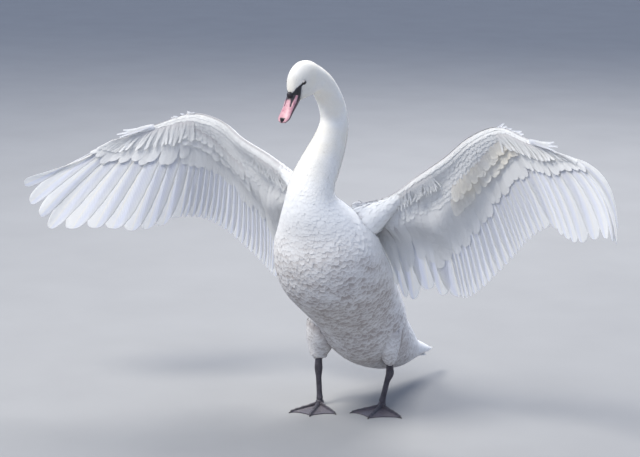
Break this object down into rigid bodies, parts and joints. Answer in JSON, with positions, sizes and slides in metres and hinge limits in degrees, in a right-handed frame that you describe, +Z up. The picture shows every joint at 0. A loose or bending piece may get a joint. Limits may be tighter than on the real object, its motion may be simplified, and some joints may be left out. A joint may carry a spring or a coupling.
{
  "type": "mute swan",
  "caption": "Life-size mute swan standing upright with both wings raised and spread, neck arched and bill pointing down.",
  "frame": {"origin": "on the floor, under the middle of the bird's overall box", "axes": "+Z up; the bird faces -Y, its left wing is on +X and its tail on +Y"},
  "size_m": [2.0305, 0.8424, 1.0977],
  "materials": {
    "plumage": "soft white body feathers",
    "flight_feathers": "smooth white vaned feathers",
    "bill_pink": "satin pink horn",
    "bill_black": "satin black horn",
    "eye": "wet dark brown",
    "leg_skin": "scaled dark grey skin",
    "claw": "dull black horn"
  },
  "bodies": {
    "root": {"head": "plumage", "bill_upper": "bill_pink", "bill_lower": "bill_pink", "bill_knob": "bill_black", "bill_nail": "bill_black", "eye_left": "eye", "eye_right": "eye", "neck_upper": "plumage", "neck_middle": "plumage", "neck_lower": "plumage", "trunk": "plumage", "tail": "flight_feathers", "wing_left_upper_arm": "flight_feathers", "wing_left_forearm": "flight_feathers", "wing_left_hand": "flight_feathers", "wing_right_upper_arm": "flight_feathers", "wing_right_forearm": "flight_feathers", "wing_right_hand": "flight_feathers", "thigh_left": "plumage", "shank_left": "leg_skin", "foot_left": "leg_skin", "claw_left_inner": "claw", "claw_left_middle": "claw", "claw_left_outer": "claw", "thigh_right": "plumage", "shank_right": "leg_skin", "foot_right": "leg_skin", "claw_right_inner": "claw", "claw_right_middle": "claw", "claw_right_outer": "claw"}
  },
  "joints": []
}
